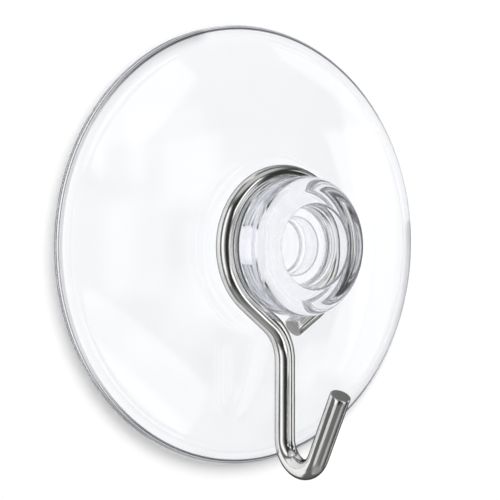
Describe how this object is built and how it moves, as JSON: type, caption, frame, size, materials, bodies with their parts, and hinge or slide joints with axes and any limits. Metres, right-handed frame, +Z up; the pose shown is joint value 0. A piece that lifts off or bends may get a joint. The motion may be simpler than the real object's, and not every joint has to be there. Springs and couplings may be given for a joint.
{
  "type": "suction cup hook",
  "caption": "Clear round suction cup with a grooved hollow knob, and a bent steel wire hook that swivels in the knob's groove.",
  "frame": {"origin": "centre of the cup's sealing rim, in the plane of the wall that it sticks to", "axes": "+Y is the cup's axis, into the wall; the knob and the hook stand out along -Y; +Z is up, so the hook hangs along -Z"},
  "size_m": [0.06, 0.0202, 0.0605],
  "materials": {
    "clear_pvc": "gloss",
    "steel_wire": "polished"
  },
  "bodies": {
    "cup": {"cup": "clear_pvc"},
    "hook": {"hook": "steel_wire"}
  },
  "joints": [
    {"name": "hook_swivel", "type": "hinge", "parent": "cup", "child": "hook", "pos_m": [0, -0.0076, 0], "axis": [0, 1, 0], "continuous": true}
  ]
}
